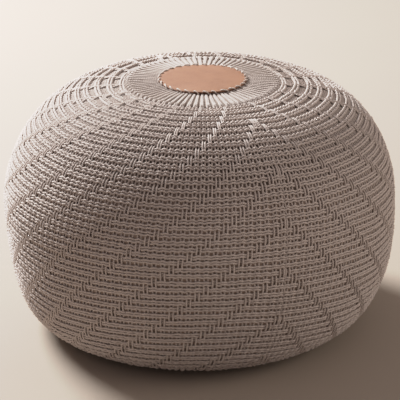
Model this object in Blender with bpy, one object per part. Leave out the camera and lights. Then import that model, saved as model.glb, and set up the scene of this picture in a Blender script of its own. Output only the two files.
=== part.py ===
"""A knitted pouf: one filled cover of knitted cord, with a leather disc sewn on its crown.

The body is turned about Z and stands on its flat base at z = 0, and its front is -Y.
Radial strands run out from under the disc, and knitted rounds go on from them to the base.
"""

import math

import bmesh
import bpy
from mathutils import Matrix, Vector

# Driving dimensions, in metres.
DIAMETER = 0.600
CROWN_HEIGHT = 0.3838  # top of the cover, which the disc lies on
WAIST_HEIGHT = 0.205  # height of the widest round
BASE_RADIUS = 0.198

# How square the outline is above and below the waist: the powers of its radius and height.
CROWN_POWERS = (4.09, 1.74)
BELLY_POWERS = (8.14, 2.32)

# How the filling has settled: the axis leans, the belly sags back across it, and the crown
# tips a little towards the front.
LEAN = 0.030
BELLY_SAG = 0.0046
CROWN_TIP = 0.014

DISC_RADIUS = 0.0665
DISC_THICKNESS = 0.0027
DISC_ROUNDING = 0.0009
DISC_SIDES = 77
SEAT_RADIUS = DISC_RADIUS - 0.0040  # the cover is flat up to here, under the disc
FIT_GAP = 0.0003

STRANDS = 77
STRAND_RELIEF = 0.0018
STRAND_TAPER = 0.0080  # the furrows between the strands run out over this length
STRAND_END = 0.1145  # along the surface from the crown's centre, where the rounds start

FIRST_ROUND = 0.0143  # how far the first round reaches along the surface
SHORTEST_ROUND = 0.0101
ROUND_GROWTH = 0.0040  # how much longer a round is ROUND_REACH above or below the shortest
ROUND_REACH = 0.200
SHORTEST_AT = 0.399
RIBBED_ROUNDS = 40
ROUND_RELIEF = 0.0015
ROUND_SIDES = 48
PLAIN_ROWS = (0.3, 0.6, 0.85, 1.0)  # shares of the way from the last ribbed round to the base

OUTLINE_STEPS = 600


def outline():
    """Points (radius, height) from the crown's centre, over the waist, to the base's edge."""
    radius = DIAMETER / 2
    rise = CROWN_HEIGHT - WAIST_HEIGHT
    points = []
    for step in range(OUTLINE_STEPS + 1):
        turn = math.pi / 2 * step / OUTLINE_STEPS
        r = radius * math.sin(turn) ** (2 / CROWN_POWERS[0])
        points.append((r, WAIST_HEIGHT + rise * math.cos(turn) ** (2 / CROWN_POWERS[1])))
    for step in range(1, OUTLINE_STEPS + 1):
        turn = math.pi / 2 * step / OUTLINE_STEPS
        r = radius * math.cos(turn) ** (2 / BELLY_POWERS[0])
        if r < BASE_RADIUS:
            break
        points.append((r, WAIST_HEIGHT * (1 - math.sin(turn) ** (2 / BELLY_POWERS[1]))))
    points.append((BASE_RADIUS, 0.0))
    return points


class Surface:
    """The cover's outer surface, by the length along it from the crown's centre."""

    def __init__(self):
        self.points = outline()
        self.lengths = [0.0]
        for (r0, z0), (r1, z1) in zip(self.points, self.points[1:]):
            self.lengths.append(self.lengths[-1] + math.hypot(r1 - r0, z1 - z0))

    def at(self, length, depth=0.0):
        """(radius, height) at that length, sunk by depth along the surface's normal."""
        i = 1
        while i < len(self.lengths) - 1 and self.lengths[i] < length:
            i += 1
        (r0, z0), (r1, z1) = self.points[i - 1], self.points[i]
        span = self.lengths[i] - self.lengths[i - 1]
        share = (length - self.lengths[i - 1]) / span
        out_r, out_z = (z0 - z1) / span, (r1 - r0) / span
        r = r0 + (r1 - r0) * share - depth * out_r
        return r, z0 + (z1 - z0) * share - depth * out_z


def round_grooves():
    """The lengths of the grooves between the ribbed rounds, from the strands' end down."""
    grooves = [STRAND_END, STRAND_END + FIRST_ROUND]
    while len(grooves) <= RIBBED_ROUNDS:
        away = (grooves[-1] - SHORTEST_AT) / ROUND_REACH
        grooves.append(grooves[-1] + SHORTEST_ROUND + ROUND_GROWTH * away * away)
    return grooves


def settled(point):
    """Where a point of the turned body lies once its filling has settled."""
    x, y, z = point
    above = max(0.0, (z - WAIST_HEIGHT) / (CROWN_HEIGHT - WAIST_HEIGHT))
    below = max(0.0, 1 - z / WAIST_HEIGHT)
    x += LEAN * (z - WAIST_HEIGHT) + BELLY_SAG * math.sin(math.pi * below)
    return Vector((x, y, z + CROWN_TIP * y * above))


def add_ring(mesh, radius, height, sides):
    """A ring of edges about Z, with its first corner at +X. Returns its corners in order."""
    ring = bmesh.ops.create_circle(
        mesh, cap_ends=False, radius=radius, segments=sides,
        matrix=Matrix.Translation((0, 0, height)),
    )["verts"]
    return sorted(ring, key=lambda corner: math.atan2(corner.co.y, corner.co.x) % math.tau)


def ring_edges(mesh, ring):
    return [mesh.edges.get(ends) for ends in zip(ring, ring[1:] + ring[:1])]


def strand_rings(mesh, surface):
    """The rings under the disc and along the strands: every second corner is a furrow."""
    rows = [
        # length along the surface, depth of crest, depth of furrow
        (SEAT_RADIUS, 0.0, 0.0),
        (DISC_RADIUS, 0.0, STRAND_RELIEF),
        (STRAND_END - STRAND_TAPER, 0.0, STRAND_RELIEF),
        (STRAND_END, ROUND_RELIEF, ROUND_RELIEF),
    ]
    rings = []
    for length, crest, furrow in rows:
        ring = add_ring(mesh, *surface.at(length, crest), 2 * STRANDS)
        for corner in ring[1::2]:
            radius, height = surface.at(length, furrow)
            flat = corner.co.xy.normalized() * radius
            corner.co = (flat.x, flat.y, height)
        rings.append(ring)
    return rings


def round_rings(mesh, surface):
    """A crest and a groove for each knitted round, then the plain rows of the base's edge."""
    grooves = round_grooves()
    rings = []
    for upper, lower in zip(grooves, grooves[1:]):
        rings.append(add_ring(mesh, *surface.at((upper + lower) / 2), ROUND_SIDES))
        rings.append(add_ring(mesh, *surface.at(lower, ROUND_RELIEF), ROUND_SIDES))
    end = surface.lengths[-1]
    for share in PLAIN_ROWS:
        length = grooves[-1] + share * (end - grooves[-1])
        rings.append(add_ring(mesh, *surface.at(length), ROUND_SIDES))
    return rings


def knit_cover(surface):
    mesh = bmesh.new()
    rings = strand_rings(mesh, surface) + round_rings(mesh, surface)
    for upper, lower in zip(rings, rings[1:]):
        bmesh.ops.bridge_loops(mesh, edges=ring_edges(mesh, upper) + ring_edges(mesh, lower))
    mesh.faces.new(rings[0])
    mesh.faces.new(rings[-1])
    for corner in mesh.verts:
        corner.co = settled(corner.co)
    for corner in rings[-1]:
        corner.co.z = 0.0
    bmesh.ops.recalc_face_normals(mesh, faces=mesh.faces)
    return mesh


def middle_across(mesh):
    """How far the middle of the settled body is from X = 0."""
    across = [corner.co.x for corner in mesh.verts]
    return (min(across) + max(across)) / 2


def leather_disc():
    """A flat round disc about its own centre, with rounded rims."""
    mesh = bmesh.new()
    bmesh.ops.create_cone(
        mesh, cap_ends=True, segments=DISC_SIDES,
        radius1=DISC_RADIUS, radius2=DISC_RADIUS, depth=DISC_THICKNESS,
    )
    rims = [edge for edge in mesh.edges if any(len(f.verts) > 4 for f in edge.link_faces)]
    bmesh.ops.bevel(
        mesh, geom=rims, offset=DISC_ROUNDING, offset_type="OFFSET",
        affect="EDGES", segments=2, profile=0.5, material=-1,
    )
    return mesh


def material(name, colour, roughness):
    made = bpy.data.materials.new(name)
    made.use_nodes = True
    shader = made.node_tree.nodes["Principled BSDF"]
    shader.inputs["Base Color"].default_value = (*colour, 1.0)
    shader.inputs["Roughness"].default_value = roughness
    shader.inputs["Metallic"].default_value = 0.0
    return made


def add_object(name, mesh, look, parts):
    data = bpy.data.meshes.new(name)
    mesh.to_mesh(data)
    mesh.free()
    data.materials.append(look)
    data.shade_smooth()
    data.set_sharp_from_angle(angle=math.radians(50))
    made = bpy.data.objects.new(name, data)
    parts.objects.link(made)
    return made


def main():
    for old in list(bpy.data.objects):
        bpy.data.objects.remove(old)
    parts = bpy.data.collections.new("knitted_pouf")
    bpy.context.scene.collection.children.link(parts)

    surface = Surface()
    cord = material("taupe_cord", (0.42, 0.34, 0.29), 0.9)
    leather = material("tan_leather", (0.56, 0.31, 0.19), 0.55)

    cover = knit_cover(surface)
    aside = middle_across(cover)
    bmesh.ops.translate(cover, verts=cover.verts, vec=(-aside, 0, 0))
    add_object("knit_cover", cover, cord, parts)

    # The disc lies on the flat crown, tipped and shifted with it.
    seat_height = surface.at(SEAT_RADIUS)[1]
    middle = seat_height + FIT_GAP + DISC_THICKNESS / 2
    disc = add_object("leather_disc", leather_disc(), leather, parts)
    disc.location = (LEAN * (middle - WAIST_HEIGHT) - aside, 0, middle)
    disc.rotation_euler.x = math.atan(CROWN_TIP)


main()
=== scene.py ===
import math

import bmesh
import bpy
import numpy as np
from mathutils import Matrix, Vector


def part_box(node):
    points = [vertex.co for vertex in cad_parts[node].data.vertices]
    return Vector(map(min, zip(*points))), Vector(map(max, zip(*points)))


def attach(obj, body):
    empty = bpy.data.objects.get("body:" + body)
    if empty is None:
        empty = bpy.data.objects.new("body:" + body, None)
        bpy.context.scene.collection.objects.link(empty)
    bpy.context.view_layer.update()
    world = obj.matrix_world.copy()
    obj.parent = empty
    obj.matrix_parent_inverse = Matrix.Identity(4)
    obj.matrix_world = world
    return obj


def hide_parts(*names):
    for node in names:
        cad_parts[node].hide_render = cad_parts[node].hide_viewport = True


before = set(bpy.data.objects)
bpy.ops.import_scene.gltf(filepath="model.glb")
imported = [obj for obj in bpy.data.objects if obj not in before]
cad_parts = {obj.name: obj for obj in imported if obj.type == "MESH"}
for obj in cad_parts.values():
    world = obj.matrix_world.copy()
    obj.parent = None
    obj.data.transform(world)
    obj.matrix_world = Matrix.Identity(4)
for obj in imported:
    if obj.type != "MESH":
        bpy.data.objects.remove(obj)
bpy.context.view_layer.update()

print("frame loaded:", ", ".join(sorted(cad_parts)))

# A knitted pouf: a filled body in a cover of thin cord, knitted in rounds, with a leather disc
# sewn on its crown. Metres, +Z up, standing on z = 0, with its front at -Y. An azimuth is 0 at
# the front and grows towards +X. A length runs along the surface from the crown's centre.

fullTurn = 2 * math.pi

poufShape = {
    "radius": 0.300,
    "crownHeight": 0.3838,
    "waistHeight": 0.205,
    "baseRadius": 0.198,
    "crownPowers": (4.09, 1.74),  # how square the outline is above the waist
    "bellyPowers": (8.14, 2.32),  # and below it
    "lean": 0.030,  # how far the axis leans to the right, as a share of the height
    "bellySag": 0.0046,
    "crownTip": 0.014,
    "steps": 1500,  # in the table of the outline
}


def outlineTable():
    # columns: length, radius, height, outward radius, outward height
    v = poufShape
    turn = np.linspace(0, math.pi / 2, v["steps"])
    rise = v["crownHeight"] - v["waistHeight"]
    upperRadius = v["radius"] * np.sin(turn) ** (2 / v["crownPowers"][0])
    upperHeight = v["waistHeight"] + rise * np.cos(turn) ** (2 / v["crownPowers"][1])
    lowerRadius = v["radius"] * np.cos(turn[1:-1]) ** (2 / v["bellyPowers"][0])
    lowerHeight = v["waistHeight"] * (1 - np.sin(turn[1:-1]) ** (2 / v["bellyPowers"][1]))
    kept = lowerRadius > v["baseRadius"]
    radius = np.concatenate([upperRadius, lowerRadius[kept], [v["baseRadius"]]])
    height = np.concatenate([upperHeight, lowerHeight[kept], [0.0]])
    length = np.concatenate([[0.0], np.cumsum(np.hypot(np.diff(radius), np.diff(height)))])
    even = np.linspace(0, length[-1], v["steps"])
    radius = np.interp(even, length, radius)
    height = np.interp(even, length, height)
    outRadius, outHeight = -np.gradient(height, even), np.gradient(radius, even)
    size = np.hypot(outRadius, outHeight)
    return even, radius, height, outRadius / size, outHeight / size


outline = outlineTable()
surfaceLength = outline[0][-1]


def settled(points):
    # the filling has settled: the axis leans, the belly sags aside and the crown tips forward
    v = poufShape
    x, y, z = points[:, 0], points[:, 1], points[:, 2]
    above = np.maximum(0, (z - v["waistHeight"]) / (v["crownHeight"] - v["waistHeight"]))
    below = np.clip(1 - z / v["waistHeight"], 0, 1)
    aside = v["lean"] * (z - v["waistHeight"]) + v["bellySag"] * np.sin(math.pi * below)
    return np.column_stack([x + aside, y, z + v["crownTip"] * y * above])


def turned(azimuth, radius, height):
    # points round Z
    return np.column_stack([radius * np.sin(azimuth), -radius * np.cos(azimuth), height])


def middleAcross():
    # how far the middle of the settled outline lies from X = 0
    edges = [settled(turned(np.full(len(outline[1]), side * math.pi / 2), outline[1], outline[2]))
             for side in (-1, 1)]
    return (edges[0][:, 0].min() + edges[1][:, 0].max()) / 2


shiftAcross = middleAcross()


def sunkOutline(length, depth):
    # the radius and height at that length, sunk by depth below the cover's crests
    even, radius, height, outRadius, outHeight = outline
    r = np.interp(length, even, radius) - depth * np.interp(length, even, outRadius)
    z = np.interp(length, even, height) - depth * np.interp(length, even, outHeight)
    return r, z


def placed(points):
    # where points of the even, turned body lie on the settled pouf
    points = settled(points)
    points[:, 0] -= shiftAcross
    return points


def onSurface(azimuth, length, depth, lowest=0.0):
    # points sunk by depth below the cover's crests, and none of them under lowest
    points = placed(turned(azimuth, *sunkOutline(length, depth)))
    points[:, 2] = np.maximum(points[:, 2], lowest)
    return points


def outwardFrom(azimuth, length):
    # the direction out of the cover
    outRadius = np.interp(length, outline[0], outline[3])
    outHeight = np.interp(length, outline[0], outline[4])
    return turned(azimuth, outRadius, outHeight)


def cordSection(sides):
    # a ring of the cord's corners, as a curve of radius 1
    data = bpy.data.curves.new("cord_section", "CURVE")
    data.dimensions = "2D"
    ring = data.splines.new("POLY")
    ring.points.add(sides - 1)
    for corner in range(sides):
        angle = -fullTurn * corner / sides  # clockwise, so that the cords' faces look outwards
        ring.points[corner].co = (math.cos(angle), math.sin(angle), 0.0, 1.0)
    ring.use_cyclic_u = True
    section = bpy.data.objects.new("cord_section", data)
    bpy.context.scene.collection.objects.link(section)
    return section


def cordsMesh(name, cords, sides, plyPitch, seed):
    # cords: (points, radii, closed, outward directions), all in one mesh. The UV map counts the
    # plies along a cord and runs once round it. The attribute cordTone is a tone of each cord's
    # own, and cordCrest runs from -1 at a cord's hidden side to 1 at its outer side.
    section = cordSection(sides)
    curve = bpy.data.curves.new(name, "CURVE")
    curve.dimensions = "3D"
    curve.bevel_mode = "OBJECT"
    curve.bevel_object = section
    curve.use_fill_caps = False
    for points, radii, closed, outward in cords:
        spline = curve.splines.new("POLY")
        spline.points.add(len(points) - 1)
        flat = np.column_stack([points, np.ones(len(points))]).ravel()
        spline.points.foreach_set("co", flat.astype(np.float32))
        spline.points.foreach_set("radius", np.asarray(radii, np.float32))
        spline.use_cyclic_u = closed
    holder = bpy.data.objects.new(name, curve)
    bpy.context.scene.collection.objects.link(holder)
    depsgraph = bpy.context.evaluated_depsgraph_get()
    mesh = bpy.data.meshes.new_from_object(holder.evaluated_get(depsgraph))
    bpy.data.objects.remove(holder)
    bpy.data.curves.remove(curve)
    sectionRing = section.data
    bpy.data.objects.remove(section)
    bpy.data.curves.remove(sectionRing)
    markCords(mesh, cords, sides, plyPitch, np.random.default_rng(seed))
    closeEnds(mesh)
    mesh.name = name
    return mesh


def markCords(mesh, cords, sides, plyPitch, chance):
    counts = np.array([len(cord[0]) for cord in cords])
    ownCord = np.repeat(np.arange(len(cords)), counts * sides)
    plies = []
    for points, radii, closed, outward in cords:
        track = np.vstack([points, points[:1]]) if closed else points
        plies.append(np.linalg.norm(np.diff(track, axis=0), axis=1).sum() / plyPitch)
    plies = np.round(plies)
    start = chance.uniform(0, 1, len(cords))
    corner = np.zeros(len(mesh.loops), np.int32)
    mesh.loops.foreach_get("vertex_index", corner)
    layer = mesh.uv_layers[0].uv
    uv = np.zeros(len(mesh.loops) * 2, np.float32)
    layer.foreach_get("vector", uv)
    uv = uv.reshape(-1, 2)
    cord = ownCord[corner]
    uv[:, 0] = uv[:, 0] * plies[cord] + start[cord]
    layer.foreach_set("vector", uv.ravel())
    tone = mesh.attributes.new("cordTone", "FLOAT", "POINT")
    tone.data.foreach_set("value", chance.uniform(-1, 1, len(cords))[ownCord].astype(np.float32))
    corners = np.zeros(len(mesh.vertices) * 3, np.float32)
    mesh.vertices.foreach_get("co", corners)
    middles = np.repeat(np.vstack([cord[0] for cord in cords]), sides, axis=0)
    outwards = np.repeat(np.vstack([cord[3] for cord in cords]), sides, axis=0)
    away = corners.reshape(-1, 3) - middles
    rise = (away * outwards).sum(axis=1) / (np.linalg.norm(away, axis=1) + 1e-9)
    crest = mesh.attributes.new("cordCrest", "FLOAT", "POINT")
    crest.data.foreach_set("value", rise.astype(np.float32))


def closeEnds(mesh):
    # a flat face over each open end
    work = bmesh.new()
    work.from_mesh(mesh)
    rims = [edge for edge in work.edges if edge.is_boundary]
    if rims:
        bmesh.ops.holes_fill(work, edges=rims, sides=0)
        work.to_mesh(mesh)
    work.free()


def meshFrom(work, name):
    mesh = bpy.data.meshes.new(name)
    work.to_mesh(mesh)
    work.free()
    return mesh


mergeDistance = 0.00002


def spunBody(profile, steps):
    # a body turned about Z from corners (radius, height), and closed on the axis at both ends
    work = bmesh.new()
    corners = [work.verts.new((r, 0, z)) for r, z in profile]
    corners.insert(0, work.verts.new((0, 0, profile[0][1])))
    corners.append(work.verts.new((0, 0, profile[-1][1])))
    edges = [work.edges.new(ends) for ends in zip(corners, corners[1:])]
    bmesh.ops.spin(
        work, geom=corners + edges, cent=(0, 0, 0), axis=(0, 0, 1), dvec=(0, 0, 0),
        angle=fullTurn, steps=steps, use_merge=True, use_normal_flip=False,
        use_duplicate=False)
    bmesh.ops.remove_doubles(work, verts=work.verts, dist=mergeDistance)
    bmesh.ops.recalc_face_normals(work, faces=work.faces)
    return work


def addPiece(name, mesh, look):
    mesh.materials.clear()
    mesh.materials.append(look)
    mesh.shade_smooth()
    piece = bpy.data.objects.new(name, mesh)
    bpy.context.scene.collection.objects.link(piece)
    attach(piece, "root")
    print("made", name, "with", sum(len(face.vertices) - 2 for face in mesh.polygons), "triangles")
    return piece


class Wire:
    # a node's output that works in Python expressions; each operator adds a Math node
    def __init__(self, tree, socket):
        self.tree = tree
        self.socket = socket

    def node(self, kind, settings, values, output=0):
        made = self.tree.nodes.new(kind)
        for name, value in settings.items():
            setattr(made, name, value)
        for place, value in values.items():
            if isinstance(value, Wire):
                self.tree.links.new(value.socket, made.inputs[place])
            else:
                made.inputs[place].default_value = value
        return Wire(self.tree, made.outputs[output])

    def math(self, operation, *others):
        values = {0: self}
        values.update({i + 1: other for i, other in enumerate(others)})
        return self.node("ShaderNodeMath", {"operation": operation}, values)

    def __add__(self, other):
        return self.math("ADD", other)

    def __radd__(self, other):
        return self.math("ADD", other)

    def __sub__(self, other):
        return self.math("SUBTRACT", other)

    def __rsub__(self, other):
        return (self * -1) + other

    def __mul__(self, other):
        return self.math("MULTIPLY", other)

    def __rmul__(self, other):
        return self.math("MULTIPLY", other)

    def __truediv__(self, other):
        return self.math("DIVIDE", other)

    def __abs__(self):
        return self.math("ABSOLUTE")

    def clamped(self, low=0.0, high=1.0):
        return self.math("MAXIMUM", low).math("MINIMUM", high)

    def mixed(self, first, second):
        # this value is the share of the second colour
        settings = {"data_type": "RGBA", "blend_type": "MIX", "clamp_factor": True}
        return self.node("ShaderNodeMix", settings, {0: self, 6: first, 7: second}, 2)

    def noise(self, scale, detail, roughness, distortion=0.0):
        # at the places that this vector gives
        return self.node("ShaderNodeTexNoise", {}, {
            "Vector": self, "Scale": scale, "Detail": detail, "Roughness": roughness,
            "Distortion": distortion})


def startMaterial(name, roughness, sheen=0.0):
    look = bpy.data.materials.new(name)
    look.use_nodes = True
    tree = look.node_tree
    shader = tree.nodes["Principled BSDF"]
    shader.inputs["Roughness"].default_value = roughness
    shader.inputs["Sheen Weight"].default_value = sheen
    shader.inputs["Sheen Roughness"].default_value = 0.5
    places = tree.nodes.new("ShaderNodeTexCoord")
    return look, tree, shader, places


def finishMaterial(tree, shader, colour, roughness, height, reach, strength):
    bump = colour.node(
        "ShaderNodeBump", {}, {"Strength": strength, "Distance": reach, "Height": height})
    tree.links.new(colour.socket, shader.inputs["Base Color"])
    tree.links.new(roughness.socket, shader.inputs["Roughness"])
    tree.links.new(bump.socket, shader.inputs["Normal"])


cordLook = {
    "colour": (0.550, 0.468, 0.420, 1.0),
    # the deep colour is painted shade, in the grooves between plies and on the cords' hidden sides
    "deepColour": (0.255, 0.199, 0.168, 1.0),
    "paleColour": (0.705, 0.630, 0.585, 1.0),
    "roughness": 0.86,
    "roughnessSpread": 0.12,
    "sheen": 0.12,
    "plies": 3,
    "plyPower": 0.6,  # how round a ply is across
    "grooveShade": 0.6,  # painted shade: how far the grooves between plies go to the deep colour
    "groovePower": 2.5,  # and how narrow they are
    "fibreScales": (0.9, 9.0),  # along the cord and across the plies
    "fleckScale": 620.0,
    "patchScale": 11.0,
    "paleShare": 0.35,  # how pale the cord is in the mean
    "melange": 0.30,  # and how much that changes with the fibres and flecks
    "patchSpread": 0.5,  # from patch to patch
    "toneSpread": 0.09,  # and from cord to cord
    "crestFrom": 0.55,  # painted shade: a cord darkens where its cordCrest is under this, on its hidden side
    "crestShade": 0.46,
    "mostShade": 0.95,
    "fibreRelief": 0.35,  # beside a relief of 1 for the plies
    "fleckRelief": 0.2,
    "relief": 0.0005,
    "reliefStrength": 0.8,
}


def cordMaterial(name, values):
    look, tree, shader, places = startMaterial(name, values["roughness"], values["sheen"])
    uv = Wire(tree, places.outputs["UV"])
    spot = Wire(tree, places.outputs["Object"])
    along = uv.node("ShaderNodeSeparateXYZ", {}, {0: uv}, "X")
    around = uv.node("ShaderNodeSeparateXYZ", {}, {0: uv}, "Y")
    acrossPlies = along + around * values["plies"]
    ply = abs((math.pi * acrossPlies).math("SINE"))
    # fibres run along the plies, so they are stretched noise in the plies' own coordinates
    alongScale, acrossScale = values["fibreScales"]
    fibrePlace = uv.node("ShaderNodeCombineXYZ", {}, {
        "X": along * alongScale, "Y": acrossPlies * acrossScale, "Z": 0.0})
    fibre = uv.node("ShaderNodeTexNoise", {"noise_dimensions": "2D"}, {
        "Vector": fibrePlace, "Scale": 1.0, "Detail": 3.0, "Roughness": 0.6})
    fleck = spot.noise(values["fleckScale"], 2.0, 0.6)
    patch = spot.noise(values["patchScale"], 3.0, 0.55)
    tone = uv.node("ShaderNodeAttribute", {"attribute_name": "cordTone"}, {}, "Fac")
    pale = ((fibre - 0.5) * values["melange"] + (fleck - 0.5) * values["melange"]
            + values["paleShare"] + (patch - 0.5) * values["patchSpread"]
            + tone * values["toneSpread"]).clamped()
    crest = uv.node("ShaderNodeAttribute", {"attribute_name": "cordCrest"}, {}, "Fac")
    # painted shade: a cord's hidden side, away from its crest, is darkened towards the deep colour
    hidden = ((values["crestFrom"] - crest) * values["crestShade"]).clamped()
    # painted shade in the grooves between the plies
    groove = (1 - ply).math("POWER", values["groovePower"]) * values["grooveShade"]
    shade = (groove + hidden).clamped(0.0, values["mostShade"])
    lit = pale.mixed(values["colour"], values["paleColour"])
    colour = shade.mixed(lit, values["deepColour"])
    roughness = (values["roughness"] + (fleck - 0.5) * values["roughnessSpread"]).clamped()
    height = (ply.math("POWER", values["plyPower"]) + (fibre - 0.5) * values["fibreRelief"]
              + (fleck - 0.5) * values["fleckRelief"])
    finishMaterial(tree, shader, colour, roughness, height,
                   values["relief"], values["reliefStrength"])
    return look


# painted shade: the strands are the same cord as the rounds, painted darker because the crown
# faces the light most
shadedStrandLook = dict(
    cordLook,
    colour=(0.412, 0.347, 0.308, 1.0),
    deepColour=(0.300, 0.241, 0.207, 1.0),
    paleColour=(0.510, 0.447, 0.408, 1.0),
)

liningLook = {
    # darker than the cords: painted shade seen through the holes between them
    "colour": (0.300, 0.226, 0.180, 1.0),
    "paleColour": (0.380, 0.292, 0.236, 1.0),
    "upperShade": 0.40,  # painted shade: how much of its colour it keeps between the upper rounds
    "upperHeights": (0.280, 0.335),  # painted shade: where it starts to darken, and where it is darkest
    "crownColour": (0.250, 0.200, 0.168, 1.0),  # under the strands, painted darker: painted shade in the gaps between them
    "crownReach": (0.112, 0.128),  # from the crown's centre, where that colour fades out
    "roughness": 0.95,
    "roughnessSpread": 0.1,
    "weaveScale": 900.0,
    "patchScale": 16.0,
    "weaveShare": 0.6,  # of the change in tone, the rest of which is in patches
    "relief": 0.0004,
    "reliefStrength": 0.5,
}


def liningMaterial(name, values):
    look, tree, shader, places = startMaterial(name, values["roughness"])
    spot = Wire(tree, places.outputs["Object"])
    weave = spot.noise(values["weaveScale"], 2.0, 0.5)
    patch = spot.noise(values["patchScale"], 2.0, 0.5)
    inner, outer = values["crownReach"]
    away = spot.node("ShaderNodeVectorMath", {"operation": "DISTANCE"}, {
        0: spot, 1: (0.0, 0.0, poufShape["crownHeight"])}, "Value")
    crown = ((outer - away) / (outer - inner)).clamped()
    low, high = values["upperHeights"]
    height = spot.node("ShaderNodeSeparateXYZ", {}, {0: spot}, "Z")
    # painted shade: darker towards black between the upper rounds
    shade = ((height - low) / (high - low)).clamped() * (1 - values["upperShade"])
    pale = weave * values["weaveShare"] + patch * (1 - values["weaveShare"])
    base = pale.mixed(values["colour"], values["paleColour"])
    base = shade.mixed(base, (0.0, 0.0, 0.0, 1.0))
    # painted shade under the strands
    colour = crown.mixed(base, values["crownColour"])
    roughness = (values["roughness"] - weave * values["roughnessSpread"]).clamped()
    finishMaterial(tree, shader, colour, roughness, weave,
                   values["relief"], values["reliefStrength"])
    return look


leatherLook = {
    "colour": (0.230, 0.104, 0.049, 1.0),
    "paleColour": (0.282, 0.135, 0.067, 1.0),
    "deepColour": (0.180, 0.074, 0.033, 1.0),
    "edgeColour": (0.160, 0.068, 0.034, 1.0),
    "edgeWidth": 0.0030,
    "edgeShade": 0.75,
    "roughness": 0.58,
    "roughnessSpread": 0.16,
    "creaseRoughness": 0.08,
    "patchScale": 26.0,
    "cloudScale": 85.0,
    "grainScale": 720.0,
    "fineScale": 1500.0,
    "paleShare": 0.45,
    "paleSpread": 1.3,  # from patch to patch
    "deepFrom": 0.52,  # the leather is worn dark where a patch is under this
    "deepSpread": 2.2,
    "cloudSpread": 0.8,
    "deepShade": 0.6,
    "creaseSharpness": 9.0,
    "creaseRelief": 0.5,
    "fineRelief": 0.2,
    "patchRelief": 1.2,
    "relief": 0.0005,
    "reliefStrength": 0.45,
}


def leatherMaterial(name, values, centre, radius):
    look, tree, shader, places = startMaterial(name, values["roughness"])
    spot = Wire(tree, places.outputs["Object"])
    patch = spot.noise(values["patchScale"], 4.0, 0.6, 0.6)
    cloud = spot.noise(values["cloudScale"], 3.0, 0.6)
    grain = spot.node("ShaderNodeTexVoronoi", {"feature": "DISTANCE_TO_EDGE"}, {
        "Vector": spot, "Scale": values["grainScale"], "Randomness": 1.0})
    fine = spot.noise(values["fineScale"], 2.0, 0.5)
    away = spot.node("ShaderNodeVectorMath", {"operation": "DISTANCE"}, {
        0: spot, 1: tuple(centre)}, "Value")
    edge = ((away - (radius - values["edgeWidth"])) / values["edgeWidth"]).clamped()
    pale = ((patch - 0.5) * values["paleSpread"] + values["paleShare"]).clamped()
    pale = pale.mixed(values["colour"], values["paleColour"])
    deep = ((values["deepFrom"] - patch) * values["deepSpread"]
            + (cloud - 0.5) * values["cloudSpread"]).clamped()
    worn = (deep * values["deepShade"]).mixed(pale, values["deepColour"])
    colour = (edge.math("POWER", 2.0) * values["edgeShade"]).mixed(worn, values["edgeColour"])
    crease = (grain * values["creaseSharpness"]).clamped()
    roughness = (values["roughness"] + (cloud - 0.5) * values["roughnessSpread"]
                 + (1 - crease) * values["creaseRoughness"]).clamped()
    height = (crease * values["creaseRelief"] + (fine - 0.5) * values["fineRelief"]
              + (patch - 0.5) * values["patchRelief"])
    finishMaterial(tree, shader, colour, roughness, height,
                   values["relief"], values["reliefStrength"])
    return look


threadLook = dict(
    cordLook,
    colour=(0.62, 0.53, 0.47, 1.0),
    deepColour=(0.40, 0.32, 0.265, 1.0),
    paleColour=(0.72, 0.64, 0.58, 1.0),
    roughness=0.75,
    plies=2,
    melange=0.25,
    toneSpread=0.10,
    # painted shade on the thread's hidden side, as on the cord
    crestFrom=0.20,
    crestShade=0.40,
)


bodyValues = {
    "depths": (0.0016, 0.0016, 0.0028, 0.0045, 0.0048, 0.0043),  # below the cords' crests
    "depthsAt": (0.060, 0.104, 0.114, 0.132, 0.220, 0.320),  # at these lengths
    "sides": 128,
    "rows": 72,
    "firstRow": 0.0004,  # from the crown's centre
    "underside": 0.0032,  # height of its flat underside, on the cords that it stands on
}


def filledBody(look):
    v = bodyValues
    lengths = np.linspace(v["firstRow"], surfaceLength, v["rows"])
    r, z = sunkOutline(lengths, np.interp(lengths, v["depthsAt"], v["depths"]))
    r = np.maximum(r, 0.0)
    z = np.maximum(z, v["underside"])
    mesh = meshFrom(spunBody(list(zip(r, z)), v["sides"]), "filled_body")
    points = np.zeros(len(mesh.vertices) * 3, np.float32)
    mesh.vertices.foreach_get("co", points)
    points = placed(points.reshape(-1, 3).astype(float))
    mesh.vertices.foreach_set("co", points.astype(np.float32).ravel())
    piece = addPiece("filled_body", mesh, look)
    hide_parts("knit_cover")


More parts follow.
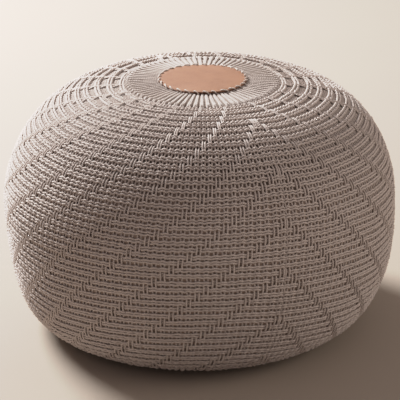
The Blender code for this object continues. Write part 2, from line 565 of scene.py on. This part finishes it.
knitValues = {
    "strandEnd": 0.1145,  # where the rounds start
    "firstRound": 0.0143,  # height of the first round, along the surface
    "shortestRound": 0.0101,
    "roundGrowth": 0.0040,  # how much taller a round is, one reach away from the shortest
    "roundReach": 0.200,
    "shortestAt": 0.399,
    "lastRound": 0.650,  # no round reaches beyond this
    "stitches": 154,  # pairs of upright cords all round
    "repeat": 7,  # one pair in seven lies over a round and shows as a bar
    "seamPair": 12,  # the bars step the other way from this pair, for half the way round
    "firstAzimuth": math.radians(-1.3),
    "cordRadius": 0.00170,
    "radiusPower": 0.28,  # how the cords thicken in the taller rounds
    "cordSpacing": 0.00362,  # between the two cords of a round
    "spacingPower": 0.58,  # and how they part
    "depth": 0.00210,  # from the cover's crests to the cords' middles
    "bulge": 0.00088,  # a round rises over each pair of upright cords
    "bulgePower": 0.5,  # more so in the taller rounds, and most in the upper cord of each
    "tilt": 0.0006,  # how much deeper the lower cord of a tall round lies
    "sway": 0.00090,  # a round also bends towards the crown over each pair
    "swayPower": -1.1,  # less so in the taller rounds
    "barDepth": 0.0048,  # of a round where a bar lies over it
    "besideBarDepth": 0.0024,  # and halfway to the next pair
    "firstRoundDepth": 0.0009,  # how much deeper the first round lies
    "unevenAlong": 0.00044,
    "unevenDepth": 0.00034,
    "waves": (2, 3, 5, 9),  # of the slow unevenness, all round
    "leastWave": 0.4,
    "plyPitch": 0.0031,
    "sides": 5,
    "groups": 4,
    "seed": 11,
    "toneSeed": 21,
}
stitchAngle = fullTurn / knitValues["stitches"]

driftValues = {
    "start": 0.160,  # the pairs slant to the left from here down
    "reach": 0.330,
    "power": 1.7,
    "azimuths": (-180, -80, -45, -30, -17, -5, 24, 40, 80, 180),  # degrees, as those below are
    "slants": (2.3, 2.9, 2.9, 2.3, 1.4, 1.7, 2.9, 4.6, 3.5, 2.3),  # to the left, one reach on
    "shifts": (0.0, 0.6, 0.5, 1.0, 1.1, 0.5, -0.2, -0.1, 0.0, 0.0),  # to the left, all along
    "pinch": 0.25,  # the pairs crowd towards each seam
    "pinchReach": 3.5,
    "hangsAt": (-180, -90, -60, -48, -36, -24, 0, 12, 24, 36, 48, 60, 90, 180),
    "hangs": (  # at each length, how many millimetres lower the rounds lie at those azimuths
        (0.115, (0, 0, 0, 0, 0, 0, 0, 0, 0, 0, 0, 0, 0, 0)),
        (0.150, (4, 6, 7, 6, 2, 0, 0, 0, 0, 4, 4, 5, 8, 4)),
        (0.300, (4, 5, 3, 3, 2, 1, 0, 0, 1, 6, 7, 9, 14, 4)),
        (0.390, (5, 6, 4, 3, 2, 1, 0, 0, 3, 7, 10, 16, 20, 5)),
        (0.480, (7, 12, 14, 16, 11, 7, 1, 1, 8, 13, 19, 24, 25, 7)),
        (0.540, (8, 18, 19, 19, 13, 8, 1, 2, 9, 15, 25, 28, 28, 8)),
        (0.690, (0, 0, 0, 0, 0, 0, 0, 0, 0, 0, 0, 0, 0, 0)),
    ),
}


def roundEdges():
    # the lengths where the rounds meet, which are the middles of the rows of holes
    v = knitValues
    edges = [v["strandEnd"], v["strandEnd"] + v["firstRound"]]
    while True:
        away = (edges[-1] - v["shortestAt"]) / v["roundReach"]
        below = edges[-1] + v["shortestRound"] + v["roundGrowth"] * away * away
        if below > v["lastRound"]:
            return edges
        edges.append(below)


knitEdges = roundEdges()


def rowScale(height, power):
    # how a measure of the shortest round grows for a round of that height
    return (height / knitValues["shortestRound"]) ** power


def isBar(pair, number):
    # whether that pair lies over that round: the bars make a herringbone with two seams
    v = knitValues
    beyond = (pair - v["seamPair"]) % v["stitches"] < v["stitches"] // 2
    step = np.where(beyond, pair - number - 1, pair + number - 1)
    return step % v["repeat"] == 0


def pairAzimuth(pair, length):
    # where the middle of a pair lies at that length, once the cover has been pulled on
    v, d = knitValues, driftValues
    even = math.degrees(v["firstAzimuth"]) + pair * math.degrees(stitchAngle)
    turn = (even + 180) % 360 - 180
    share = np.maximum(0, (length - d["start"]) / d["reach"])
    drift = -share ** d["power"] * np.interp(turn, d["azimuths"], d["slants"])
    drift = drift - np.interp(turn, d["azimuths"], d["shifts"])
    half = math.degrees(stitchAngle) * v["stitches"] / 2
    seam = math.degrees(v["firstAzimuth"]) + (v["seamPair"] - 0.5) * math.degrees(stitchAngle)
    away = (even - seam + half / 2) % half - half / 2
    drift = drift - d["pinch"] * away * np.exp(-(away / d["pinchReach"]) ** 2)
    return np.radians(even + drift)


def hang(azimuth, length):
    # how much further down a round lies at the sides, where the cover hangs
    d = driftValues
    turn = np.degrees((azimuth + math.pi) % fullTurn - math.pi)
    low = 0.0 * turn
    for (start, upper), (end, lower) in zip(d["hangs"], d["hangs"][1:]):
        share = (length - start) / (end - start)
        here = (share >= 0) & (share < 1)
        first, second = np.interp(turn, d["hangsAt"], upper), np.interp(turn, d["hangsAt"], lower)
        low = low + here * 0.001 * (first + share * (second - first))
    return low


def slowWave(azimuth, chance, size):
    # a gentle unevenness round the pouf that closes on itself
    waves = [(turns, chance.uniform(0, fullTurn), chance.uniform(knitValues["leastWave"], 1.0))
             for turns in knitValues["waves"]]
    return size * sum(part * np.sin(turns * azimuth + start) for turns, start, part in waves)


def roundCords(number, chance):
    # the two cords of one round, four points to a stitch
    v = knitValues
    middle = (knitEdges[number - 1] + knitEdges[number]) / 2
    height = knitEdges[number] - knitEdges[number - 1]
    scale = rowScale(height, v["spacingPower"])
    radius = v["cordRadius"] * rowScale(height, v["radiusPower"])
    places = np.arange(4 * v["stitches"])
    stitch, part = (places + 1) // 4, (places + 1) % 4 - 1
    azimuth = pairAzimuth(stitch + part / 4, middle)
    wave = np.cos(part * math.pi / 2)
    bulge = v["bulge"] * rowScale(height, v["bulgePower"])
    sway = v["sway"] * rowScale(height, v["swayPower"])
    deeper = v["firstRoundDepth"] if number == 1 else 0
    quarterDepth = 0.5 * (v["barDepth"] + v["besideBarDepth"])
    besideBar = np.where(part == 2, v["besideBarDepth"], quarterDepth)
    barDepth = np.where(part == 0, v["barDepth"], besideBar)
    wander = slowWave(azimuth, chance, v["unevenAlong"]) + hang(azimuth, middle)
    cords = []
    for side in (-1, 1):
        length = middle + side * scale * v["cordSpacing"] / 2 - sway * wave + wander
        depth = v["depth"] + side * v["tilt"] * (scale - 1) + deeper
        depth = depth - bulge * (1 - side * (scale - 1)) * wave
        depth = np.where(isBar(stitch, number), barDepth, depth)
        length = length + chance.normal(0, v["unevenAlong"] / 2, len(places))
        sunk = depth + chance.normal(0, v["unevenDepth"], len(places))
        points = onSurface(azimuth, length, sunk + radius - v["cordRadius"], radius)
        outward = outwardFrom(azimuth, length)
        cords.append((points, np.full(len(points), radius), True, outward))
    return cords


def knitRounds(look):
    v = knitValues
    chance = np.random.default_rng(v["seed"])
    limits = np.linspace(1, len(knitEdges), v["groups"] + 1).astype(int)
    for group in range(v["groups"]):
        cords = []
        for number in range(limits[group], limits[group + 1]):
            cords += roundCords(number, chance)
        name = f"knit_rounds_{group + 1}"
        mesh = cordsMesh(name, cords, v["sides"], v["plyPitch"], v["toneSeed"] + group)
        piece = addPiece(name, mesh, look)
        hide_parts("knit_cover")


uprightValues = {
    "radius": 0.00152,
    "mostOfPitch": 0.158,  # of a stitch, that a cord's radius may be
    "mostOfBar": 0.19,  # and in a bar
    "wide": 0.255,  # of a stitch, from the pair's middle to each cord, under a round's lower edge
    "narrow": 0.185,  # and above the next round
    "barSpacings": (0.0013, 0.0025, 0.0029),  # from a bar's middle to each of its cords
    "barPitches": (0.0075, 0.0105, 0.0122),  # at these widths of a stitch
    "depth": 0.00390,  # from the cover's crests, between the rounds
    "depthPower": 0.1,
    "barDepth": 0.00120,
    "barRadius": 0.94,  # of the radius
    "barStartDepth": 0.00160,
    "barEndDepth": 0.00280,
    "holeReach": 0.0023,  # from the middle of a row of holes to the rounds beside it
    "reachPower": 0.8,
    "unevenAcross": 0.00012,
    "plyPitch": 0.0030,
    "sides": 5,
    "groups": 2,
    "seed": 12,
    "toneSeed": 31,
}


def uprightCord(pair, side, chance):
    # one cord of a pair, from the strands' end to the base, with two points to a row of holes
    v = uprightValues
    lengths, offsets, depths, thickness = [], [], [], []
    last = len(knitEdges) - 1
    for row, middle in enumerate(knitEdges):
        height = knitEdges[min(row + 1, last)] - knitEdges[min(row, last - 1)]
        reach = v["holeReach"] * rowScale(height, v["reachPower"])
        radius = np.interp(middle, outline[0], outline[1])
        pitch = radius * stitchAngle
        barAbove = row > 0 and isBar(pair, row)
        barBelow = row < last and isBar(pair, row + 1)
        barOffset = np.interp(pitch, v["barPitches"], v["barSpacings"])
        lengths += [middle - reach, middle + reach]
        offsets.append(barOffset if barAbove else v["wide"] * pitch)
        offsets.append(barOffset if barAbove or barBelow else v["narrow"] * pitch)
        depth = v["depth"] * rowScale(height, v["depthPower"])
        depths.append(v["barDepth"] if barAbove else depth)
        lowerDepth = v["barStartDepth"] if barBelow else depth
        depths.append(v["barEndDepth"] if barAbove else lowerDepth)
        plain = min(v["radius"], v["mostOfPitch"] * pitch)
        inBar = min(v["radius"] * v["barRadius"], v["mostOfBar"] * pitch)
        thickness.append(inBar if barAbove else plain)
        thickness.append(inBar if barBelow else plain)
    lengths, offsets, depths = np.array(lengths), np.array(offsets), np.array(depths)
    radii = np.interp(lengths, outline[0], outline[1])
    offsets = side * offsets + chance.normal(0, v["unevenAcross"], len(offsets))
    azimuth = pairAzimuth(pair, lengths)
    lengths = lengths + hang(azimuth, lengths)
    azimuth = azimuth + offsets / radii
    points = onSurface(azimuth, lengths, depths, v["radius"])
    return points, np.array(thickness), False, outwardFrom(azimuth, lengths)


def uprightCords(look):
    v = uprightValues
    chance = np.random.default_rng(v["seed"])
    limits = np.linspace(0, knitValues["stitches"], v["groups"] + 1).astype(int)
    for group in range(v["groups"]):
        cords = [uprightCord(pair, side, chance)
                 for pair in range(limits[group], limits[group + 1]) for side in (-1, 1)]
        name = f"upright_cords_{group + 1}"
        mesh = cordsMesh(name, cords, v["sides"], v["plyPitch"], v["toneSeed"] + group)
        piece = addPiece(name, mesh, look)
        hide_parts("knit_cover")


strandValues = {
    "start": 0.0600,
    "end": 0.1235,
    "steps": 13,
    "radii": (0.00150, 0.00205),  # at its start and its end
    "offsets": (0.00058, 0.00096),  # of each half from the strand's middle
    "depth": 0.00160,
    "endDepth": 0.0044,  # how much deeper it ends, under the first round
    "endPower": 1.3,
    "endTaper": 0.0003,
    "knotAt": 0.1125,
    "knotReach": 0.0030,
    "knotRise": 0.0012,
    "knotSwelling": 0.00055,
    "unevenAcross": 0.00018,
    "unevenDepth": 0.0001,
    "unevenRadius": 0.05,
    "plyPitch": 0.0036,
    "sides": 8,
    "seed": 13,
    "toneSeed": 41,
}


def strandCord(pair, chance):
    # half a strand: the two halves lie against each other and part at the first round
    v = strandValues
    side = -1 if pair % 2 == 0 else 1
    share = np.linspace(0, 1, v["steps"])
    lengths = v["start"] + share * (v["end"] - v["start"])
    radii = np.interp(lengths, outline[0], outline[1])
    middle = pairAzimuth(pair - side * 0.5, lengths)
    offsets = np.interp(share, [0, 1], v["offsets"])
    spread = np.clip((lengths - v["knotAt"]) / (v["end"] - v["knotAt"]), 0, 1)
    offsets = offsets + spread * (0.5 * stitchAngle * radii - offsets)
    offsets = side * offsets + chance.normal(0, v["unevenAcross"], len(share))
    knot = np.exp(-((lengths - v["knotAt"]) / v["knotReach"]) ** 2)
    depths = v["depth"] - v["knotRise"] * knot + chance.normal(0, v["unevenDepth"], len(share))
    depths = depths + spread ** v["endPower"] * v["endDepth"]
    thickness = np.interp(share, [0, 1], v["radii"]) + v["knotSwelling"] * knot
    thickness = thickness - v["endTaper"] * spread
    thickness = thickness * (1 + chance.normal(0, v["unevenRadius"], len(share)))
    azimuth = middle + offsets / radii
    return onSurface(azimuth, lengths, depths), thickness, False, outwardFrom(azimuth, lengths)


def radialStrands(look):
    v = strandValues
    chance = np.random.default_rng(v["seed"])
    cords = [strandCord(pair, chance) for pair in range(knitValues["stitches"])]
    mesh = cordsMesh("radial_strands", cords, v["sides"], v["plyPitch"], v["toneSeed"])
    piece = addPiece("radial_strands", mesh, look)
    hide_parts("knit_cover")


undersideValues = {
    "firstRadius": 0.1890,
    "roundStep": 0.0130,
    "rounds": 14,
    "cordRadius": 0.0015,
    "cordSpacing": 0.0032,
    "stitches": 77,
    "mostOfPitch": 0.45,  # of a stitch, that a strand's radius may be
    "sway": 0.0006,
    "lift": 0.0020,  # where a strand lies under a round
    "strandHeight": 0.0034,
    "coilTurns": 5,  # in the middle
    "coilStart": 0.0016,
    "coilPitch": 2.05,  # of the cord's radius
    "coilSteps": 20,  # in each turn
    "plyPitch": 0.0031,
    "sides": 5,
    "toneSeed": 51,
}


def down(points):
    # a direction for each point
    return np.tile((0.0, 0.0, -1.0), (len(points), 1))


def undersideCords(look):
    v = undersideValues
    cords = []
    pitch = fullTurn / v["stitches"]
    places = np.arange(2 * v["stitches"])
    stitch, between = places // 2, places % 2
    azimuth = (stitch + between / 2) * pitch
    for number in range(v["rounds"]):
        middle = v["firstRadius"] - number * v["roundStep"]
        lifted = ((stitch + number) % knitValues["repeat"] == 0) & (between == 0)
        for side in (-1, 1):
            radius = middle + side * v["cordSpacing"] / 2 + v["sway"] * (1 - 2 * between)
            height = v["cordRadius"] + v["lift"] * lifted
            points = placed(turned(azimuth, radius, height))
            cords.append((points, np.full(len(points), v["cordRadius"]), True, down(points)))
    for strand in range(v["stitches"]):
        radii, heights = [], []
        for number in range(v["rounds"]):
            middle = v["firstRadius"] - number * v["roundStep"]
            under = (strand + number) % knitValues["repeat"] == 0
            radii += [middle + v["cordSpacing"], middle - v["cordSpacing"]]
            heights += 2 * [v["cordRadius"] if under else v["strandHeight"]]
        radii, heights = np.array(radii), np.array(heights)
        thickness = np.minimum(v["cordRadius"], v["mostOfPitch"] * radii * pitch)
        points = placed(turned(np.full(len(radii), strand * pitch), radii, heights))
        cords.append((points, thickness, False, down(points)))
    turn = np.linspace(0, v["coilTurns"] * fullTurn, v["coilTurns"] * v["coilSteps"])
    radius = v["coilStart"] + v["coilPitch"] * v["cordRadius"] * turn / fullTurn
    points = placed(turned(turn, radius, np.full(len(turn), v["cordRadius"])))
    cords.append((points, np.full(len(turn), v["cordRadius"]), False, down(points)))
    mesh = cordsMesh("underside_cords", cords, v["sides"], v["plyPitch"], v["toneSeed"])
    piece = addPiece("underside_cords", mesh, look)
    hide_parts("knit_cover")


discValues = {
    "thickness": 0.0027,
    "rounding": 0.0011,
    "roundingSteps": 4,
    "rings": (0.2, 0.4, 0.6, 0.75, 0.86, 0.92, 0.955),  # shares of the radius
    "plainUnder": 0.5,  # the share of the radius that has no rings underneath
    "steps": 232,
    "stitches": 29,
    "holeInset": 0.0030,
    "dimple": 0.0007,
    "dimpleSize": 0.0022,
    "scallop": 0.0006,
    "scallopReach": 0.1,  # of the radius
    "waviness": 0.0004,
    "waves": ((3, 0.8, 1.0), (5, 2.1, 0.6)),  # waves round the disc, start, share of the height
    "sag": 0.0006,
}
discLow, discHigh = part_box("leather_disc")
discCentre = (discLow + discHigh) / 2
discRadius = (discHigh.y - discLow.y) / 2
discTip = Matrix.Rotation(math.atan(poufShape["crownTip"]), 4, "X")
discPlace = Matrix.Translation(discCentre) @ discTip


def discProfile():
    # corners (radius, height) over the disc's top, round its rim and back under it
    v = discValues
    half, curve = v["thickness"] / 2, v["rounding"]
    points = [(discRadius * share, half) for share in v["rings"]]
    for step in range(v["roundingSteps"] + 1):
        angle = math.pi / 2 * step / v["roundingSteps"]
        points.append((discRadius - curve + curve * math.sin(angle),
                       half - curve + curve * math.cos(angle)))
    plain = discRadius * v["plainUnder"]
    return points + [(r, -z) for r, z in reversed(points) if r > plain]


def leatherDisc(look):
    work = spunBody(discProfile(), discValues["steps"])
    for corner in work.verts:
        shapeDiscCorner(corner)
    work.transform(discPlace)
    piece = addPiece("tan_disc", meshFrom(work, "tan_disc"), look)
    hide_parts("leather_disc")


def shapeDiscCorner(corner):
    # the stitches pull the rim in and dimple the leather, which lies a little unevenly
    v = discValues
    x, y, z = corner.co
    away, angle = math.hypot(x, y), math.atan2(x, -y)
    turn = fullTurn / v["stitches"]
    nearest = round(angle / turn) * turn
    hole = discRadius - v["holeInset"]
    gap = math.hypot(x - hole * math.sin(nearest), y + hole * math.cos(nearest))
    if z > 0:
        corner.co.z -= v["dimple"] * math.exp(-(gap / v["dimpleSize"]) ** 2)
    reach = v["scallopReach"]
    edge = max(0.0, (away - (1 - reach) * discRadius) / (reach * discRadius))
    if away > 0:
        pull = v["scallop"] * edge * (0.5 + 0.5 * math.cos(v["stitches"] * angle))
        corner.co.x -= pull * x / away
        corner.co.y -= pull * y / away
    share = away / discRadius
    for turns, start, part in v["waves"]:
        corner.co.z += part * v["waviness"] * share * share * math.sin(turns * angle + start)
    corner.co.z -= v["sag"] * share ** 3


stitchValues = {
    "radius": 0.00100,
    "run": 0.0098,  # along the rim, from where it comes up to where it goes down
    "outside": 0.0012,  # from the rim to the middle of the thread
    "end": -0.00345,  # from the disc's middle, where it goes down into the strands
    "uneven": 0.0005,
    "unevenRun": 0.12,
    "plyPitch": 0.0021,
    "sides": 8,
    "seed": 14,
    "toneSeed": 61,
}


def edgeStitches(look):
    v = stitchValues
    chance = np.random.default_rng(v["seed"])
    cords = []
    hole = discRadius - discValues["holeInset"]
    top = discValues["thickness"] / 2
    rows = [
        # radius, height from the disc's middle, share of the run, share of the thread's radius
        (hole, -0.0006, 0.0, 0.7),
        (hole + 0.0002, top - 0.0002, 0.02, 0.85),
        (hole + 0.0012, top + 0.0005, 0.16, 1.0),
        (hole + 0.0030, top + 0.0004, 0.48, 1.05),
        (discRadius + 0.4 * v["outside"], top - 0.0006, 0.76, 1.0),
        (discRadius + v["outside"], -0.0008, 0.94, 0.9),
        (discRadius + 0.8 * v["outside"], v["end"], 1.0, 0.75),
    ]
    thickness = np.array([row[3] for row in rows]) * v["radius"]
    for number in range(discValues["stitches"]):
        angle = number * fullTurn / discValues["stitches"]
        angle += chance.normal(0, v["uneven"]) / discRadius
        slant = v["run"] / discRadius * (1 + chance.normal(0, v["unevenRun"]))
        points = [discPlace @ Vector((r * math.sin(angle + slant * share),
                                      -r * math.cos(angle + slant * share), z))
                  for r, z, share, _ in rows]
        cords.append((np.array(points), thickness, False, -down(points)))
    mesh = cordsMesh("edge_stitches", cords, v["sides"], v["plyPitch"], v["toneSeed"])
    addPiece("edge_stitches", mesh, look)


stageValues = {
    "floorColour": (0.372, 0.312, 0.255, 1.0),
    "floorDarkest": 0.93,  # of that colour
    "floorRoughness": 0.85,
    "floorRoughnessSpread": 0.05,
    "floorPatchScale": 3.0,
    "floorGrainScale": 400.0,
    "floorPatchShare": 0.7,
    "floorRelief": 0.0006,
    "floorReliefStrength": 0.2,
    "floorSize": 12.0,
    "keyPower": 490.0,
    "keySize": 1.7,
    "keyDistance": 4.2,
    "keyAzimuth": math.radians(43.0),  # from +Y towards -X
    "keyElevation": math.radians(36.0),
    "keyColour": (1.0, 0.995, 1.0),
    "fillPower": 44.0,
    "fillSize": 2.5,
    "fillPlace": (3.5, -0.5, 1.7),
    "fillColour": (1.0, 0.90, 0.80),
    "lightsAim": (0, 0, 0.2),
    "skyColour": (0.93, 0.80, 0.785, 1.0),
    "skyStrength": 0.335,
    "shoulder": ((0.58, 0.58), (0.75, 0.69), (1.0, 0.79), (1.3, 0.88), (1.8, 1.0)),  # light, shown
}


def addFloor():
    v = stageValues
    work = bmesh.new()
    bmesh.ops.create_grid(work, x_segments=1, y_segments=1, size=v["floorSize"] / 2)
    mesh = meshFrom(work, "floor")
    look, tree, shader, places = startMaterial("pale_floor", v["floorRoughness"])
    spot = Wire(tree, places.outputs["Object"])
    patch = spot.noise(v["floorPatchScale"], 4.0, 0.5)
    grain = spot.noise(v["floorGrainScale"], 2.0, 0.5)
    dark = patch * v["floorPatchShare"] + grain * (1 - v["floorPatchShare"])
    darkest = tuple(v["floorDarkest"] * part for part in v["floorColour"][:3]) + (1.0,)
    colour = dark.clamped().mixed(v["floorColour"], darkest)
    roughness = v["floorRoughness"] + (grain - 0.5) * v["floorRoughnessSpread"]
    finishMaterial(tree, shader, colour, roughness, grain,
                   v["floorRelief"], v["floorReliefStrength"])
    mesh.materials.append(look)
    floor = bpy.data.objects.new("floor", mesh)
    bpy.context.scene.collection.objects.link(floor)


def addAreaLight(name, power, size, place, colour):
    data = bpy.data.lights.new(name, "AREA")
    data.shape = "DISK"
    data.size = size
    data.energy = power
    data.color = colour
    light = bpy.data.objects.new(name, data)
    light.location = place
    aim = Vector(stageValues["lightsAim"]) - Vector(place)
    light.rotation_euler = aim.to_track_quat("-Z", "Y").to_euler()
    bpy.context.scene.collection.objects.link(light)


def addLights():
    v = stageValues
    across = v["keyDistance"] * math.cos(v["keyElevation"])
    keyPlace = (-across * math.sin(v["keyAzimuth"]), across * math.cos(v["keyAzimuth"]),
                v["keyDistance"] * math.sin(v["keyElevation"]))
    addAreaLight("key", v["keyPower"], v["keySize"], keyPlace, v["keyColour"])
    addAreaLight("fill", v["fillPower"], v["fillSize"], v["fillPlace"], v["fillColour"])
    world = bpy.data.worlds.new("soft_sky")
    world.use_nodes = True
    background = world.node_tree.nodes["Background"]
    background.inputs["Color"].default_value = v["skyColour"]
    background.inputs["Strength"].default_value = v["skyStrength"]
    bpy.context.scene.world = world
    softenHighlights()


def softenHighlights():
    # light shows as it is up to the shoulder's first row, and then ever less of it
    v = stageValues
    view = bpy.context.scene.view_settings
    view.view_transform = "Standard"
    view.use_curve_mapping = True
    mapping = view.curve_mapping
    brightest = v["shoulder"][-1][0]
    mapping.white_level = (brightest, brightest, brightest)
    curve = mapping.curves[3]
    for light, shown in v["shoulder"][:-1]:
        curve.points.new(light / brightest, shown)
    for point in curve.points:
        point.handle_type = "VECTOR"
    mapping.update()


cameraValues = {
    "distance": 3.0,
    "elevation": math.radians(21.33),
    "aim": (0.0009, 0.0, 0.1889),
    "lens": 175.05,
    "sensor": 36.0,
    "nearest": 0.05,
}


def addCamera():
    v = cameraValues
    data = bpy.data.cameras.new("camera")
    data.sensor_width = v["sensor"]
    data.lens = v["lens"]
    data.clip_start = v["nearest"]
    camera = bpy.data.objects.new("camera", data)
    back = Vector((0, -math.cos(v["elevation"]), math.sin(v["elevation"])))
    camera.location = Vector(v["aim"]) + v["distance"] * back
    camera.rotation_mode = "QUATERNION"
    camera.rotation_quaternion = (-back).to_track_quat("-Z", "Y")
    bpy.context.scene.collection.objects.link(camera)
    bpy.context.scene.camera = camera


cord = cordMaterial("taupe_cord", cordLook)
shadedStrandCord = cordMaterial("taupe_strand_shaded", shadedStrandLook)
lining = liningMaterial("dark_lining", liningLook)
leather = leatherMaterial("tan_leather", leatherLook, discCentre, discRadius)
thread = cordMaterial("cream_thread", threadLook)
print("materials made")

filledBody(lining)
knitRounds(cord)
uprightCords(cord)
radialStrands(shadedStrandCord)
undersideCords(cord)
leatherDisc(leather)
edgeStitches(thread)

addFloor()
addLights()
addCamera()
print("floor, lights and camera placed")
